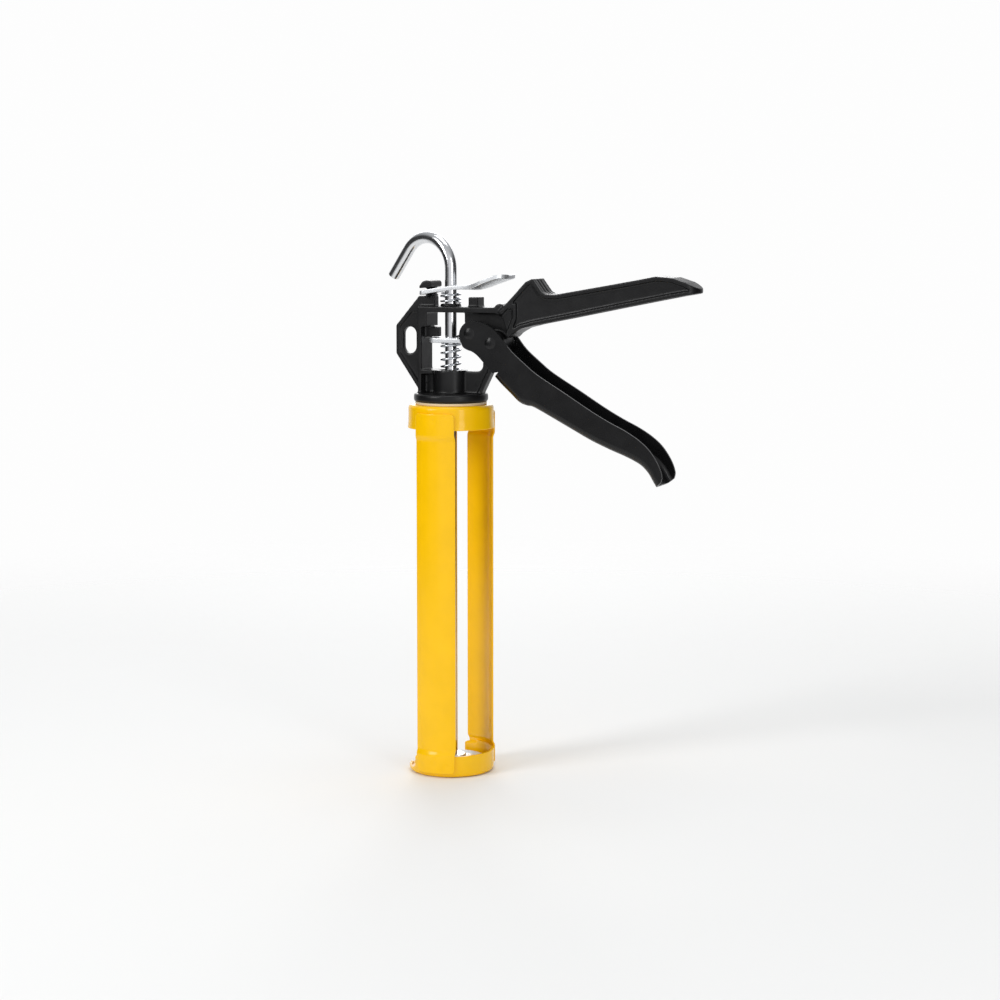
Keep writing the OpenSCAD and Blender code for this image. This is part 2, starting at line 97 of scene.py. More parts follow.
class HeadSizes(bpy.types.PropertyGroup):
    """Sizes of the cast head and handle, in millimetres"""
    grain: bpy.props.FloatProperty(name="Casting step", description="Finest step of the casting's surface",
                                   default=0.5)
    mark_r: bpy.props.FloatProperty(name="Ejector mark", description="Radius of an ejector pin's mark", default=2.5)


class TriggerSizes(bpy.types.PropertyGroup):
    """Sizes of the trigger, the rivets, the lever and the springs, in millimetres"""
    width: bpy.props.FloatProperty(name="Trigger width", description="Outer width of the channel", default=24.0)
    sheet: bpy.props.FloatProperty(name="Trigger sheet", description="Sheet thickness of the trigger", default=1.6)
    bend_r: bpy.props.FloatProperty(name="Bend radius", description="Outer bend radius of the channel", default=3.4)
    rivet_r: bpy.props.FloatProperty(name="Rivet head", description="Radius of a rivet's head", default=4.6)
    rivet_h: bpy.props.FloatProperty(name="Rivet height", description="Height of a rivet's head", default=2.4)
    lever_t: bpy.props.FloatProperty(name="Lever sheet", description="Thickness of the release lever", default=2.6)
    paddle_w: bpy.props.FloatProperty(name="Paddle width", description="Width of the lever's paddle", default=26.0)
    wire: bpy.props.FloatProperty(name="Spring wire", description="Wire diameter of the springs", default=1.3)
    coil_r: bpy.props.FloatProperty(name="Coil radius", description="Mean radius of the springs", default=6.1)


class RodSizes(bpy.types.PropertyGroup):
    """Sizes of the push rod and the plunger, in millimetres"""
    rod_r: bpy.props.FloatProperty(name="Rod radius", description="Radius of the push rod", default=3.75)
    hook_r: bpy.props.FloatProperty(name="Hook radius", description="Bend radius of the pull hook", default=20.0)
    hook_bend: bpy.props.FloatProperty(name="Hook bend", description="Angle of the pull hook",
                                       default=math.radians(142), subtype="ANGLE")
    hook_leg: bpy.props.FloatProperty(name="Hook leg", description="Straight end of the hook", default=22.0)
    plunger_r: bpy.props.FloatProperty(name="Plunger radius", description="Radius of the plunger", default=22.0)
    hub_r: bpy.props.FloatProperty(name="Hub radius", description="Radius of the plunger's hub", default=9.2)


class Finishes(bpy.types.PropertyGroup):
    """Colours of the finishes"""
    enamel: bpy.props.StringProperty(name="Barrel enamel", description="sRGB colour of the barrel", default="#FFC600")
    powder: bpy.props.StringProperty(name="Head coating", description="sRGB colour of the head", default="#111112")
    trigger: bpy.props.StringProperty(name="Trigger paint", description="sRGB colour of the trigger",
                                      default="#0E0E0F")
    zinc: bpy.props.StringProperty(name="Zinc plate", description="sRGB colour of the zinc plating",
                                   default="#DDE0E4")
    chrome: bpy.props.StringProperty(name="Rod plating", description="sRGB colour of the rod", default="#E3E4E6")
    nylon: bpy.props.StringProperty(name="Nylon", description="sRGB colour of the nylon washer", default="#F3DFBC")
    floor: bpy.props.StringProperty(name="Floor", description="sRGB colour of the floor", default="#F4F4F3")


# ---------------------------------------------------------------- mesh tools

def outline(points, rounds=(), steps=6):
    """A face through points in the X-Z plane. rounds lists (corner indices, setback) for the corners to round."""
    bm = bmesh.new()
    bm.faces.new([bm.verts.new((p[0], 0, p[1])) for p in points])
    bm.verts.ensure_lookup_table()
    groups = [([bm.verts[i] for i in which], setback) for which, setback in rounds]
    for corners, setback in groups:
        bmesh.ops.bevel(bm, geom=corners, offset=setback, segments=steps, profile=0.5, affect="VERTICES",
                        clamp_overlap=True, material=-1)
    return bm


def thickened(bm, low, high):
    """The face in the X-Z plane made a slab from y = low to y = high."""
    bmesh.ops.translate(bm, vec=(0, low, 0), verts=bm.verts)
    made = bmesh.ops.extrude_face_region(bm, geom=bm.verts[:] + bm.edges[:] + bm.faces[:], use_keep_orig=True)
    moved = [g for g in made["geom"] if isinstance(g, bmesh.types.BMVert)]
    bmesh.ops.translate(bm, vec=(0, high - low, 0), verts=moved)
    bmesh.ops.recalc_face_normals(bm, faces=bm.faces)
    return bm


def softened(bm, width, angle=30, steps=3):
    """Rounds every edge that turns more than angle."""
    sharp = [e for e in bm.edges if e.is_manifold and e.calc_face_angle(0) > math.radians(angle)]
    bmesh.ops.bevel(bm, geom=sharp, offset=width, segments=steps, profile=0.5, affect="EDGES",
                    clamp_overlap=True, material=-1)
    return bm


def sliced(bm, axis, places):
    """Cuts the mesh across an axis at each place, so that it can be bent."""
    for place in places:
        at = Vector((0, 0, 0))
        at[axis] = place
        normal = Vector((0, 0, 0))
        normal[axis] = 1
        bmesh.ops.bisect_plane(bm, geom=bm.verts[:] + bm.edges[:] + bm.faces[:], dist=1e-5, plane_co=at,
                               plane_no=normal)
    return bm


def lathed(points, rounds=(), steps=96, turn=math.tau, bevel_steps=5):
    """A closed profile of (radius, height) points turned about Z."""
    bm = outline(points, rounds, bevel_steps)
    bmesh.ops.delete(bm, geom=bm.faces[:], context="FACES_ONLY")
    on_axis = [e for e in bm.edges if all(abs(v.co.x) < 1e-6 for v in e.verts)]
    bmesh.ops.delete(bm, geom=on_axis, context="EDGES")
    full = abs(turn - math.tau) < 1e-6
    ends = bm.verts[:] + bm.edges[:]
    bmesh.ops.spin(bm, geom=ends, cent=(0, 0, 0), axis=(0, 0, 1), angle=turn, steps=steps, use_merge=full,
                   use_duplicate=False)
    if not full:
        bmesh.ops.holes_fill(bm, edges=[e for e in bm.edges if e.is_boundary], sides=0)
    bmesh.ops.remove_doubles(bm, verts=bm.verts, dist=1e-4)
    bmesh.ops.recalc_face_normals(bm, faces=bm.faces)
    return bm


def shifted(bm, vec):
    """Moves the whole mesh."""
    bmesh.ops.translate(bm, vec=vec, verts=bm.verts)
    return bm


def turned(bm, angle, axis="Z"):
    """Turns the whole mesh about the origin."""
    bmesh.ops.rotate(bm, cent=(0, 0, 0), matrix=Matrix.Rotation(angle, 3, axis), verts=bm.verts)
    return bm


def joined(*parts):
    """Several meshes as one, each still closed by itself."""
    whole = bmesh.new()
    for bm in parts:
        mesh = bpy.data.meshes.new("part")
        bm.to_mesh(mesh)
        bm.free()
        whole.from_mesh(mesh)
        bpy.data.meshes.remove(mesh)
    return whole


def cad_copy(node):
    """A node's mesh in millimetres, with its loose triangles joined up."""
    bm = bmesh.new()
    bm.from_mesh(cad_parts[node].data)
    bmesh.ops.scale(bm, vec=(1 / MM,) * 3, verts=bm.verts)
    bmesh.ops.remove_doubles(bm, verts=bm.verts, dist=2e-3)
    return bm


def through_modifiers(bm, *steps):
    """The mesh after each (kind, settings) modifier in turn."""
    mesh = bpy.data.meshes.new("work")
    bm.to_mesh(mesh)
    bm.free()
    work = bpy.data.objects.new("work", mesh)
    bpy.context.scene.collection.objects.link(work)
    for kind, settings in steps:
        modifier = work.modifiers.new(kind.lower(), kind)
        for name, value in settings.items():
            setattr(modifier, name, value)
    bpy.context.view_layer.update()
    made = bmesh.new()
    made.from_mesh(work.evaluated_get(bpy.context.evaluated_depsgraph_get()).to_mesh())
    bpy.data.objects.remove(work)
    bpy.data.meshes.remove(mesh)
    return made


def cut_away(bm, *cutters):
    """The mesh with each cutter's space taken out."""
    tools = []
    for cutter in cutters:
        mesh = bpy.data.meshes.new("cutter")
        bmesh.ops.recalc_face_normals(cutter, faces=cutter.faces)
        cutter.to_mesh(mesh)
        cutter.free()
        tool = bpy.data.objects.new("cutter", mesh)
        bpy.context.scene.collection.objects.link(tool)
        tools.append(tool)
    made = through_modifiers(bm, *[("BOOLEAN", {"operation": "DIFFERENCE", "solver": "EXACT", "object": tool})
                                   for tool in tools])
    for tool in tools:
        mesh = tool.data
        bpy.data.objects.remove(tool)
        bpy.data.meshes.remove(mesh)
    return made


def cast(bm, step, rounding, share):
    """A closed skin round everything in the mesh, with its edges rounded as a casting's are."""
    skin = through_modifiers(bm, ("REMESH", {"mode": "VOXEL", "voxel_size": step}))
    for _ in range(rounding):
        bmesh.ops.smooth_vert(skin, verts=skin.verts, factor=0.5, use_axis_x=True, use_axis_y=True, use_axis_z=True)
    return through_modifiers(skin, ("DECIMATE", {"ratio": share})) if share < 1 else skin


def smooth_line(points, steps=5):
    """A smooth curve through a line of points."""
    last = len(points) - 1
    line = []
    for i in range(last):
        a, b, c, d = (Vector(points[max(0, min(last, k))]) for k in (i - 1, i, i + 1, i + 2))
        for k in range(steps):
            t = k / steps
            line.append(0.5 * (2 * b + (c - a) * t + (2 * a - 5 * b + 4 * c - d) * t * t
                               + (3 * b - a - 3 * c + d) * t ** 3))
    line.append(Vector(points[last]))
    return line


def step_between(value, low, high):
    """0 below low, 1 above high and a smooth rise in between."""
    t = min(1, max(0, (value - low) / (high - low)))
    return t * t * (3 - 2 * t)


def spread(low, high, pitch):
    """Even places from low to high, about a pitch apart."""
    count = max(1, round((high - low) / pitch))
    return [low + (high - low) * i / count for i in range(1, count)]


def piece(name, bm, body, finish, stands_for=(), sharp=32, weighted=True):
    """A finished piece from a mesh in millimetres."""
    bmesh.ops.scale(bm, vec=(MM, MM, MM), verts=bm.verts)
    for face in bm.faces:
        face.smooth = True
    mesh = bpy.data.meshes.new(name)
    bm.to_mesh(mesh)
    bm.free()
    mesh.set_sharp_from_angle(angle=math.radians(sharp))
    obj = bpy.data.objects.new(name, mesh)
    bpy.context.scene.collection.objects.link(obj)
    mesh.materials.append(finish)
    if weighted:
        normals = obj.modifiers.new("Weighted normals", "WEIGHTED_NORMAL")
        normals.keep_sharp = True
    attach(obj, body)
    if stands_for:
        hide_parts(*stands_for)
    return obj


# ---------------------------------------------------------------- finishes

def colour(code):
    """An sRGB hex colour as linear RGBA."""
    parts = [int(code[i:i + 2], 16) / 255 for i in (1, 3, 5)]
    return [c / 12.92 if c <= 0.04045 else ((c + 0.055) / 1.055) ** 2.4 for c in parts] + [1]


def add_node(tree, kind, inputs=None, **settings):
    """Adds a node, sets it up and links or fills its inputs."""
    node = tree.nodes.new(kind)
    for name, value in settings.items():
        setattr(node, name, value)
    for socket, value in (inputs or {}).items():
        if isinstance(value, bpy.types.NodeSocket):
            tree.links.new(value, node.inputs[socket])
        else:
            node.inputs[socket].default_value = value
    return node


def blank(name):
    """A new material with nothing but its output, and its tree."""
    material = bpy.data.materials.new(name)
    material.use_nodes = True
    material.node_tree.nodes.clear()
    return material, material.node_tree


def shade_of(code, factor):
    """A colour made lighter or darker."""
    return [c * factor for c in colour(code)[:3]] + [1]


def per_mm(size):
    """A texture's scale for features of a size in millimetres."""
    return 1 / (size * MM)


def gloss_enamel(name, code):
    """Gloss enamel sprayed on pressed steel: a smooth wet-looking film with a faint orange peel."""
    material, tree = blank(name)
    at = add_node(tree, "ShaderNodeTexCoord").outputs["Object"]
    # The film flows out to an orange peel of about 1.6 mm, and follows the sheet's own ripple of about 14 mm.
    peel = add_node(tree, "ShaderNodeTexNoise", {"Vector": at, "Scale": per_mm(1.6), "Detail": 2.0})
    ripple = add_node(tree, "ShaderNodeTexNoise", {"Vector": at, "Scale": per_mm(14), "Detail": 1.0})
    rise = add_node(tree, "ShaderNodeMath", {0: ripple.outputs["Fac"], 1: 6.0, 2: peel.outputs["Fac"]},
                    operation="MULTIPLY_ADD")
    bump = add_node(tree, "ShaderNodeBump", {"Height": rise.outputs[0], "Strength": 0.5, "Distance": 0.012 * MM})
    # Thin and thick film differ a little in colour over about 25 mm.
    film = add_node(tree, "ShaderNodeTexNoise", {"Vector": at, "Scale": per_mm(25), "Detail": 3.0})
    tone = add_node(tree, "ShaderNodeValToRGB", {"Fac": film.outputs["Fac"]})
    tone.color_ramp.elements[0].position, tone.color_ramp.elements[1].position = 0.3, 0.7
    tone.color_ramp.elements[0].color = shade_of(code, 0.95)
    tone.color_ramp.elements[1].color = shade_of(code, 1.03)
    # Dust nibs and handling dull the gloss in specks of about 0.8 mm.
    dust = add_node(tree, "ShaderNodeTexNoise", {"Vector": at, "Scale": per_mm(0.8), "Detail": 4.0})
    dull = add_node(tree, "ShaderNodeMapRange", {"Value": dust.outputs["Fac"], "From Min": 0.35, "From Max": 0.8,
                                                 "To Min": 0.13, "To Max": 0.3})
    surface = add_node(tree, "ShaderNodeBsdfPrincipled", {
        "Base Color": tone.outputs["Color"], "Roughness": dull.outputs["Result"], "IOR": 1.5,
        "Specular IOR Level": 0.3, "Coat Weight": 0.12, "Coat Roughness": 0.06,
        "Normal": bump.outputs["Normal"]})
    add_node(tree, "ShaderNodeOutputMaterial", {"Surface": surface.outputs["BSDF"]})
    return material


def powder_coat(name, code, grain, low, high):
    """Black coating on metal: matt to satin, with a fine grain that breaks up each highlight."""
    material, tree = blank(name)
    at = add_node(tree, "ShaderNodeTexCoord").outputs["Object"]
    # The coating's grain, and the casting's slow unevenness of about 9 mm below it.
    fine = add_node(tree, "ShaderNodeTexNoise", {"Vector": at, "Scale": per_mm(grain), "Detail": 3.0,
                                                 "Roughness": 0.6})
    slow = add_node(tree, "ShaderNodeTexNoise", {"Vector": at, "Scale": per_mm(9), "Detail": 2.0})
    rise = add_node(tree, "ShaderNodeMath", {0: slow.outputs["Fac"], 1: 5.0, 2: fine.outputs["Fac"]},
                    operation="MULTIPLY_ADD")
    bump = add_node(tree, "ShaderNodeBump", {"Height": rise.outputs[0], "Strength": 0.6, "Distance": 0.03 * MM})
    # Outer edges are painted lighter: a painted highlight along every convex edge, broken into patches of about 3 mm.
    edge_glint = add_node(tree, "ShaderNodeMapRange", {"Value": add_node(tree, "ShaderNodeNewGeometry").outputs["Pointiness"],
                                                 "From Min": 0.53, "From Max": 0.62, "To Min": 0.0, "To Max": 0.5})
    patch = add_node(tree, "ShaderNodeTexNoise", {"Vector": at, "Scale": per_mm(3), "Detail": 4.0})
    painted_edge_highlight = add_node(tree, "ShaderNodeMath", {0: edge_glint.outputs["Result"], 1: patch.outputs["Fac"]},
                      operation="MULTIPLY")
    # The black, with the painted edge highlight mixed in towards a colour four times lighter.
    tone = add_node(tree, "ShaderNodeMix", {"Factor": painted_edge_highlight.outputs[0], "A": colour(code),
                                            "B": shade_of(code, 4.0)}, data_type="RGBA")
    sheen = add_node(tree, "ShaderNodeMapRange", {"Value": slow.outputs["Fac"], "From Min": 0.3, "From Max": 0.7,
                                                  "To Min": low, "To Max": high})
    surface = add_node(tree, "ShaderNodeBsdfPrincipled", {
        "Base Color": tone.outputs["Result"], "Roughness": sheen.outputs["Result"], "IOR": 1.5,
        "Specular IOR Level": 0.32, "Normal": bump.outputs["Normal"]})
    add_node(tree, "ShaderNodeOutputMaterial", {"Surface": surface.outputs["BSDF"]})
    return material


def plated_steel(name, code, low, high, streak, mottle=0.0):
    """Bright plating on steel: a metal mirror broken by drawing lines or by a sheared, mottled edge."""
    material, tree = blank(name)
    at = add_node(tree, "ShaderNodeTexCoord").outputs["Object"]
    # Drawing leaves lines along the piece about 0.4 mm apart, and handling leaves a slow blur over 6 mm.
    along = add_node(tree, "ShaderNodeMapping", {"Vector": at, "Scale": (1, 1, streak)})
    lines = add_node(tree, "ShaderNodeTexNoise", {"Vector": along.outputs["Vector"], "Scale": per_mm(0.4),
                                                  "Detail": 3.0})
    blur = add_node(tree, "ShaderNodeTexNoise", {"Vector": at, "Scale": per_mm(6), "Detail": 4.0})
    mixed = add_node(tree, "ShaderNodeMath", {0: lines.outputs["Fac"], 1: 0.5, 2: blur.outputs["Fac"]},
                     operation="MULTIPLY_ADD")
    dull = add_node(tree, "ShaderNodeMapRange", {"Value": mixed.outputs[0], "From Min": 0.5, "From Max": 1.0,
                                                 "To Min": low, "To Max": high})
    # A sheared edge is torn into pits of about 0.7 mm, which the flat faces don't have.
    upright = add_node(tree, "ShaderNodeSeparateXYZ", {
        "Vector": add_node(tree, "ShaderNodeNewGeometry").outputs["True Normal"]})
    flat = add_node(tree, "ShaderNodeMath", {0: upright.outputs["Z"]}, operation="ABSOLUTE")
    edge = add_node(tree, "ShaderNodeMapRange", {"Value": flat.outputs[0], "From Min": 0.35, "From Max": 0.75,
                                                 "To Min": mottle, "To Max": 0.03})
    pits = add_node(tree, "ShaderNodeTexVoronoi", {"Vector": at, "Scale": per_mm(0.7)}, feature="SMOOTH_F1")
    torn = add_node(tree, "ShaderNodeMath", {0: pits.outputs["Distance"], 1: edge.outputs["Result"]},
                    operation="MULTIPLY")
    rise = add_node(tree, "ShaderNodeMath", {0: lines.outputs["Fac"], 1: 0.04, 2: torn.outputs[0]},
                    operation="MULTIPLY_ADD")
    bump = add_node(tree, "ShaderNodeBump", {"Height": rise.outputs[0], "Strength": 0.8, "Distance": 0.35 * MM})
    tone = add_node(tree, "ShaderNodeMix", {"Factor": blur.outputs["Fac"], "A": shade_of(code, 0.88),
                                            "B": colour(code)}, data_type="RGBA")
    surface = add_node(tree, "ShaderNodeBsdfPrincipled", {
        "Base Color": tone.outputs["Result"], "Metallic": 1.0, "Roughness": dull.outputs["Result"],
        "Normal": bump.outputs["Normal"]})
    add_node(tree, "ShaderNodeOutputMaterial", {"Surface": surface.outputs["BSDF"]})
    return material


def moulded_nylon(name, code):
    """Natural nylon: waxy and a little translucent, with a faint turned grain."""
    material, tree = blank(name)
    at = add_node(tree, "ShaderNodeTexCoord").outputs["Object"]
    grain = add_node(tree, "ShaderNodeTexNoise", {"Vector": at, "Scale": per_mm(0.6), "Detail": 3.0})
    bump = add_node(tree, "ShaderNodeBump", {"Height": grain.outputs["Fac"], "Strength": 0.4, "Distance": 0.03 * MM})
    tone = add_node(tree, "ShaderNodeMix", {"Factor": grain.outputs["Fac"], "A": shade_of(code, 0.93),
                                            "B": colour(code)}, data_type="RGBA")
    surface = add_node(tree, "ShaderNodeBsdfPrincipled", {
        "Base Color": tone.outputs["Result"], "Roughness": 0.45, "IOR": 1.53, "Subsurface Weight": 0.15,
        "Subsurface Radius": (1.2 * MM, 0.9 * MM, 0.6 * MM), "Subsurface Scale": 1.0,
        "Normal": bump.outputs["Normal"]})
    add_node(tree, "ShaderNodeOutputMaterial", {"Surface": surface.outputs["BSDF"]})
    return material


def finish(name):
    """The named finish, made the first time that it is asked for."""
    if name in bpy.data.materials:
        return bpy.data.materials[name]
    codes = bpy.context.scene.gun_finishes
    makers = {
        "gloss_enamel": lambda: gloss_enamel(name, codes.enamel),
        "powder_coat": lambda: powder_coat(name, codes.powder, 0.45, 0.3, 0.4),
        "baked_paint": lambda: powder_coat(name, codes.trigger, 0.7, 0.24, 0.33),
        "black_phosphate": lambda: powder_coat(name, codes.trigger, 0.5, 0.22, 0.32),
        "zinc_plate": lambda: plated_steel(name, codes.zinc, 0.2, 0.36, 1.0, 0.9),
        "bright_wire": lambda: plated_steel(name, codes.zinc, 0.14, 0.24, 1.0),
        "bright_chrome": lambda: plated_steel(name, codes.chrome, 0.08, 0.2, 0.03),
        "moulded_nylon": lambda: moulded_nylon(name, codes.nylon),
    }
    return makers[name]()


# ---------------------------------------------------------------- operators

class GUN_OT_caps(bpy.types.Operator):
    """Adds the barrel's two pressed caps"""
    bl_idname = "gun.caps"
    bl_label = "Add caps"

    def execute(self, context):
        s = context.scene.gun_barrel
        r, t, flare = CAP_R, s.sheet, 0.45
        bore = 11.05
        rear = lathed([(bore, 0), (r, 0), (r, -s.rear_h + 4), (r + flare, -s.rear_h), (r + flare - t, -s.rear_h),
                       (r - t, -s.rear_h + 4), (r - t, -t), (bore, -t)],
                      [((1,), s.edge_r), ((6,), s.edge_r - t), ((2, 5), 2.5), ((3, 4), 0.5)], 144)
        piece("barrel_rear_cap", shifted(rear, (0, 0, SEAT)), "barrel", finish("gloss_enamel"),
              ["rear_cap"])
        cup = lathed([(0, 0), (r, 0), (r, s.front_h), (r - t, s.front_h), (r - t, t), (0, t)],
                     [((1,), s.edge_r), ((4,), s.edge_r - t)], 144)
        half_slot = s.slot_w / 2
        slot = thickened(outline([(-half_slot, -half_slot), (r + 2, -half_slot), (r + 2, half_slot),
                                  (-half_slot, half_slot)], [((0, 3), half_slot * 0.999)], 16), -1, s.lip_h + 1)
        turned(slot, math.radians(90), "X")
        shifted(slot, (0, 0, s.lip_h))
        mouth = STRIP_OFFSET - math.asin(s.strip_w / 2 / r) + math.radians(9)
        low, high = r * math.sin(mouth - math.radians(14)), r * math.sin(mouth)
        gate = thickened(outline([(-low, s.lip_h), (low, s.lip_h), (high - 1.5, s.front_h - 1.2),
                                  (high + 2, s.front_h), (high + 2, s.front_h + 3), (-high - 2, s.front_h + 3),
                                  (-high - 2, s.front_h), (-high + 1.5, s.front_h - 1.2)],
                                 [((0, 1), 2.5), ((2, 7), 1.6)]), -r - 4, 0)
        turned(gate, math.radians(90), "Z")
        front = cut_away(cup, turned(slot, OPENING), turned(gate, OPENING))
        bmesh.ops.dissolve_degenerate(front, dist=1e-4, edges=front.edges)
        softened(front, 0.45, 38)
        piece("barrel_front_cap", front, "barrel", finish("gloss_enamel"), ["front_cap"])
        return {"FINISHED"}


class GUN_OT_strips(bpy.types.Operator):
    """Adds the two side strips, joggled between the caps and spot-welded to them"""
    bl_idname = "gun.strips"
    bl_label = "Add strips"

    def execute(self, context):
        s = context.scene.gun_barrel
        foot, top = 2.5, SEAT - 4.5
        low, high = s.front_h + 0.5, SEAT - s.rear_h - 3
        wide, tab, joggle, rise = s.strip_w / 2, s.strip_w / 2 - 0.7, 4, 3
        welds = [(0, top - 4.6), (-9.2, top - 2.4), (8.6, top - 2.4), (0, foot + 7.2), (-9.2, foot + 5),
                 (8.6, foot + 5)]
        for name, turn, node in (("barrel_strip_near", OPENING + STRIP_OFFSET, "left_strip"),
                                 ("barrel_strip_far", OPENING - STRIP_OFFSET, "right_strip")):
            bm = outline([(-tab, foot), (tab, foot), (tab, low), (wide, low + 3), (wide, high - 3), (tab, high),
                          (tab, top), (-tab, top), (-tab, high), (-wide, high - 3), (-wide, low + 3), (-tab, low)],
                         [((0, 1, 6, 7), 2.4), ((2, 3, 4, 5, 8, 9, 10, 11), 1.0)], 5)
            softened(thickened(bm, 0, s.strip_t), 0.4, 60)
            sliced(bm, 0, spread(-wide, wide, 0.75))
            sliced(bm, 2, spread(foot, low + joggle + 2, 0.8) + spread(low + joggle + 3, high - joggle - 3, 6)
                   + spread(high - joggle - 2, top, 0.8))
            for v in bm.verts:
                x, y, z = v.co
                sunk = s.strip_t * step_between(z, low, low + rise) * step_between(-z, -high, joggle - high)
                dent = sum(0.32 * math.exp(-((x - wx) ** 2 + (z - wz) ** 2) / (s.weld_d * 0.42) ** 2)
                           for wx, wz in welds)
                radius = CAP_R + 0.02 + y - sunk - dent
                angle = turn + math.asin(x / CAP_R)
                v.co = (radius * math.cos(angle), radius * math.sin(angle), z)
            bmesh.ops.recalc_face_normals(bm, faces=bm.faces)
            piece(name, bm, "barrel", finish("gloss_enamel"), [node])
        return {"FINISHED"}


class GUN_OT_head(bpy.types.Operator):
    """Adds the die-cast head with its handle"""
    bl_idname = "gun.head"
    bl_label = "Add head"

    def execute(self, context):
        s = context.scene.gun_head
        grooves = []
        for y in (-7.2, -2.4, 2.4, 7.2):
            line = [Vector(p) for p in GRIP_TOP]
            outer = [p + Vector((1.6, 2.4)) for p in line[2:]]
            inner = [p + Vector((-1.0, -1.0)) for p in line[2:]]
            groove = thickened(outline(outer + inner[::-1]), y - 0.55, y + 0.55)
            grooves.append(shifted(groove, (0, 0, SEAT)))
        body = cad_copy("head_casting")
        extra = [
            # the small knuckle where the bridge meets the handle
            shifted(turned(softened(lathed([(0, -9), (3.6, -9), (3.6, 9), (0, 9)], (), 32), 0.6), math.pi / 2, "X"),
                    (36.6, 0, SEAT + 60.4)),
        ]
        body = cut_away(body, *grooves)
        whole = joined(body, *extra)
        skin = cast(whole, s.grain, 4, 0.55)
        piece("head_casting_body", skin, "root", finish("powder_coat"), ["head_casting"],
              sharp=60, weighted=False)
        marks = []
        for x, z in ((19.8, 13.3), (-16.2, 15.5)):
            for side in (-1, 1):
                ring = lathed([(s.mark_r - 0.35, -0.3), (s.mark_r, 0.16), (s.mark_r + 0.35, -0.3)], (), 48)
                marks.append(shifted(turned(ring, side * math.pi / 2, "X"), (x, side * 2.3, SEAT + z)))
        piece("head_ejector_marks", joined(*marks), "root", finish("powder_coat"))
        return {"FINISHED"}


class GUN_OT_rivets(bpy.types.Operator):
    """Adds the pivot rivet and the drive rivet with their domed heads"""
    bl_idname = "gun.rivets"
    bl_label = "Add rivets"

    def execute(self, context):
        s = context.scene.gun_trigger
        for name, at, body, node in (("rivet_pivot", PIVOT, "root", "pivot_rivet"),
                                     ("rivet_drive", DRIVE_PIN, "trigger", "drive_rivet")):
            shank = 3.0
            half = s.width / 2 + 0.15
            profile = [(0, -half - s.rivet_h), (s.rivet_r * 0.62, -half - s.rivet_h * 0.86),
                       (s.rivet_r * 0.93, -half - s.rivet_h * 0.42), (s.rivet_r, -half),
                       (shank, -half), (shank, half), (s.rivet_r, half),
                       (s.rivet_r * 0.93, half + s.rivet_h * 0.42), (s.rivet_r * 0.62, half + s.rivet_h * 0.86),
                       (0, half + s.rivet_h)]
            bm = lathed(profile, [((1, 8), 1.4), ((2, 7), 0.8), ((3, 6), 0.2)], 64, bevel_steps=6)
            piece(name, shifted(turned(bm, math.pi / 2, "X"), at), body, finish("black_phosphate"),
                  [node], sharp=50)
        return {"FINISHED"}


class GUN_OT_washers(bpy.types.Operator):
    """Adds the nylon seat washer, the thrust washer, the snap ring and the pivot's washers"""
    bl_idname = "gun.washers"
    bl_label = "Add washers"

    def execute(self, context):
        for name, node, slot, look, inner, outer, edge in (
                ("seat_washer", "nylon_washer", "nylon", "moulded_nylon", 11.3, 22.6, 0.35),
                ("thrust_ring", "thrust_washer", "zinc_plate", "zinc_plate", 11.0, 17.0, 0.25)):
            low, high = (corner.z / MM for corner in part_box(node))
            bm = softened(lathed([(inner, low), (outer, low), (outer, high), (inner, high)]), edge, 60)
            body = "root"
            piece(name, bm, body, finish(look), [node])
        low, high = (corner.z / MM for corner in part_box("retaining_ring"))
        open_angle = 2 * math.asin(2 / 11.65)
        bm = lathed([(9.8, low), (13.5, low), (13.5, high), (9.8, high)], (), 72, math.tau - open_angle)
        turned(softened(bm, 0.2, 60), open_angle / 2)
        piece("snap_ring", bm, "root", finish("bright_wire"), ["retaining_ring"])
        lo, hi = (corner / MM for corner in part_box("pivot_washers"))
        discs = []
        for y in (lo.y, hi.y - 0.7):
            disc = softened(lathed([(3.0, 0), (6.5, 0), (6.5, 0.7), (3.0, 0.7)], (), 48), 0.15, 60)
            discs.append(shifted(turned(disc, -math.pi / 2, "X"), (PIVOT.x, y, PIVOT.z)))
        piece("pivot_washer_pair", joined(*discs), "root", finish("zinc_plate"), ["pivot_washers"])
        return {"FINISHED"}


class GUN_OT_springs(bpy.types.Operator):
    """Adds the two coil springs on the rod"""
    bl_idname = "gun.springs"
    bl_label = "Add springs"

    def execute(self, context):
        s = context.scene.gun_trigger
        for name, node, turns, joint, keep in (
                ("drive_coil", "drive_spring", 4.0, "drive_plate_slide", 0.54),
                ("release_coil", "release_spring", 1.0, "release_lever_press", 0.68)):
            low, high = (corner.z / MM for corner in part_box(node))
            bm = bmesh.new()
            bmesh.ops.create_circle(bm, segments=12, radius=s.wire / 2, cap_ends=True)
            bmesh.ops.rotate(bm, cent=(0, 0, 0), matrix=Matrix.Rotation(math.pi / 2, 3, "X"), verts=bm.verts)
            shifted(bm, (s.coil_r, 0, low + s.wire / 2))
            last = bm.verts[:] + bm.edges[:] + bm.faces[:]
            closed = s.wire * 1.06
            climb = high - low - s.wire
            stretches = [(0.75, closed), (turns, (climb - 1.5 * closed) / turns), (0.75, closed)]
            for count, pitch in stretches:
                steps = round(count * 40)
                spun = bmesh.ops.spin(bm, geom=last, cent=(0, 0, 0), axis=(0, 0, 1), angle=math.tau * count,
                                      dvec=(0, 0, pitch * count / steps), steps=steps, use_merge=False,
                                      use_duplicate=False)
                last = spun["geom_last"]
            bmesh.ops.recalc_face_normals(bm, faces=bm.faces)
            coil = piece(name, bm, "root", finish("bright_wire"), [node], sharp=60, weighted=False)
            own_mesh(coil)
        return {"FINISHED"}


